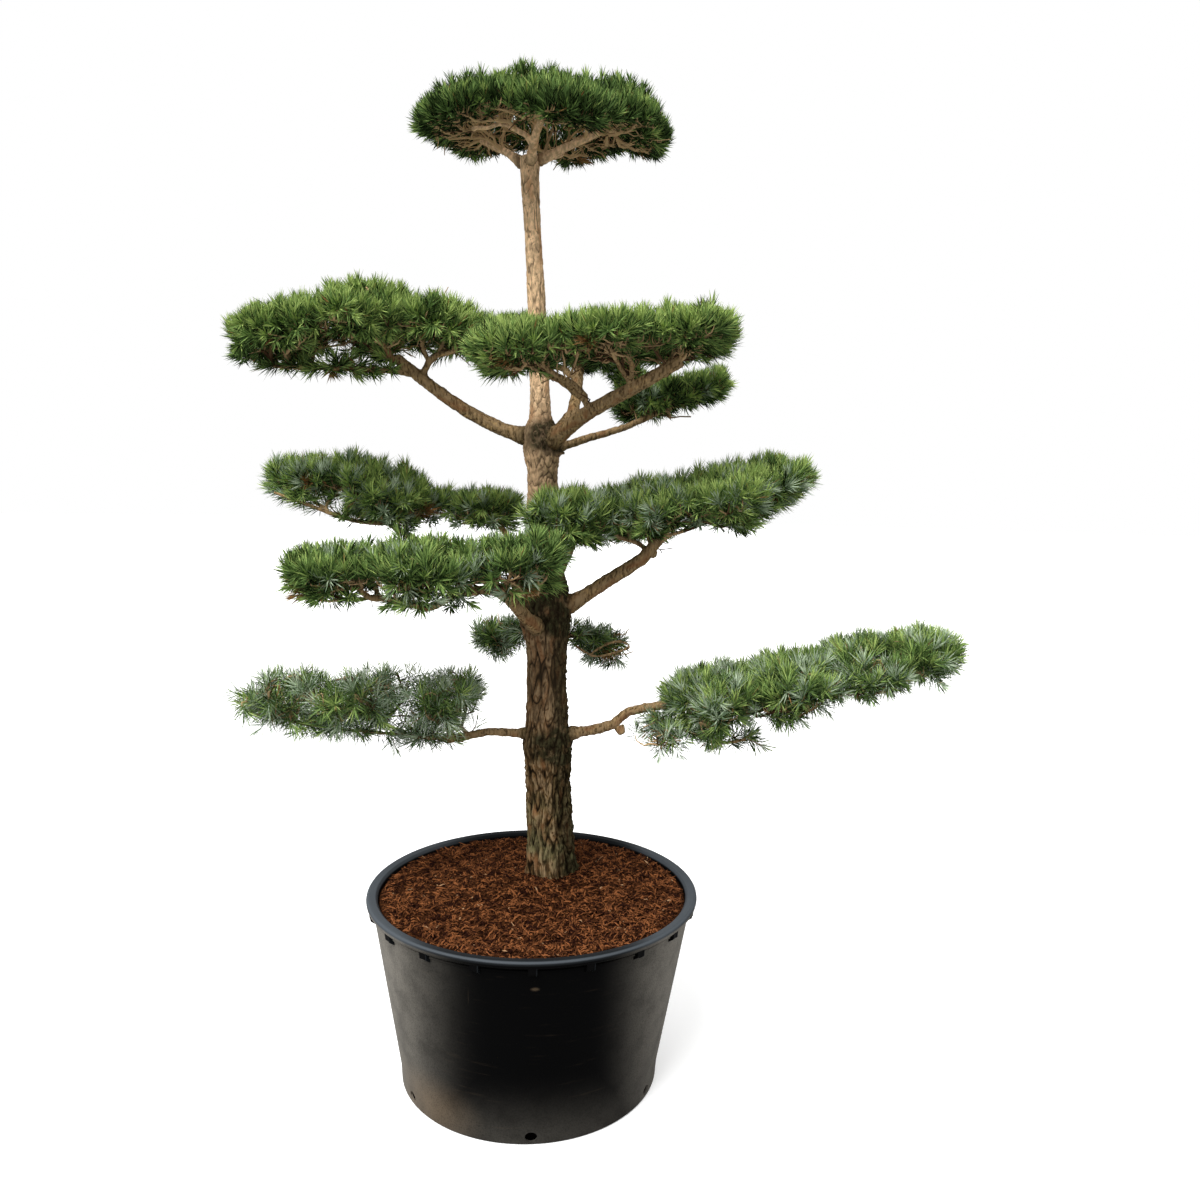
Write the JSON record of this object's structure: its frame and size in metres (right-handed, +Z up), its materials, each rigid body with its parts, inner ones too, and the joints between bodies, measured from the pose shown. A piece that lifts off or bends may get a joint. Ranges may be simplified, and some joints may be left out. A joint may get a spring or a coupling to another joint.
{
  "type": "scots pine bonsai",
  "caption": "Cloud-pruned pine trained as a tall garden bonsai, tiers of needle pads on bare limbs over a straight trunk, standing in a round black nursery container.",
  "frame": {"origin": "centre of the flat underside of the container", "axes": "+Z up the trunk, -Y towards the front of the tree, +X towards the long low pad on the front view's right"},
  "size_m": [2.22, 1.077, 2.9641],
  "materials": {
    "container": "black moulded plastic, dusty, slightly shiny on the lip",
    "soil": "reddish-brown shredded bark and coir",
    "bark": "fissured grey-brown bark, orange-tan and flaky higher up",
    "needles": "long paired needles, fresh green at the tips and blue-green in the shade"
  },
  "bodies": {
    "root": {"pot": "container", "soil": "soil", "trunk": "bark", "limb_1_left": "bark", "limb_1_right": "bark", "limb_1_front": "bark", "limb_1_back": "bark", "limb_2_left": "bark", "limb_2_front": "bark", "limb_2_back": "bark", "limb_2_low": "bark", "limb_3_right": "bark", "limb_3_front": "bark", "limb_3_left": "bark", "limb_3_back": "bark", "limb_3_back_left": "bark", "twig_3_low_left": "bark", "twig_3_low_right": "bark", "limb_4_left": "bark", "limb_4_right": "bark", "crown_top": "needles", "crown_right": "needles", "crown_back": "needles", "crown_back_left": "needles", "crown_front_left": "needles", "crown_front": "needles", "pad_2_left_tip": "needles", "pad_2_left_middle": "needles", "pad_2_left_inner": "needles", "pad_2_front_left": "needles", "pad_2_front_middle": "needles", "pad_2_front_right": "needles", "pad_2_back_left": "needles", "pad_2_back_right": "needles", "pad_2_low": "needles", "pad_3_left_tip": "needles", "pad_3_left_inner": "needles", "pad_3_back_left": "needles", "pad_3_back": "needles", "pad_3_centre": "needles", "pad_3_right_inner": "needles", "pad_3_right_middle": "needles", "pad_3_right_tip": "needles", "pad_3_front_tip": "needles", "pad_3_front_middle": "needles", "pad_3_front_inner": "needles", "tuft_3_low_left": "needles", "tuft_3_low_right": "needles", "pad_4_left_tip": "needles", "pad_4_left_middle": "needles", "pad_4_left_inner": "needles", "pad_4_right_foot": "needles", "pad_4_right_inner": "needles", "pad_4_right_middle": "needles", "pad_4_right_outer": "needles", "pad_4_right_tip": "needles"}
  },
  "joints": []
}
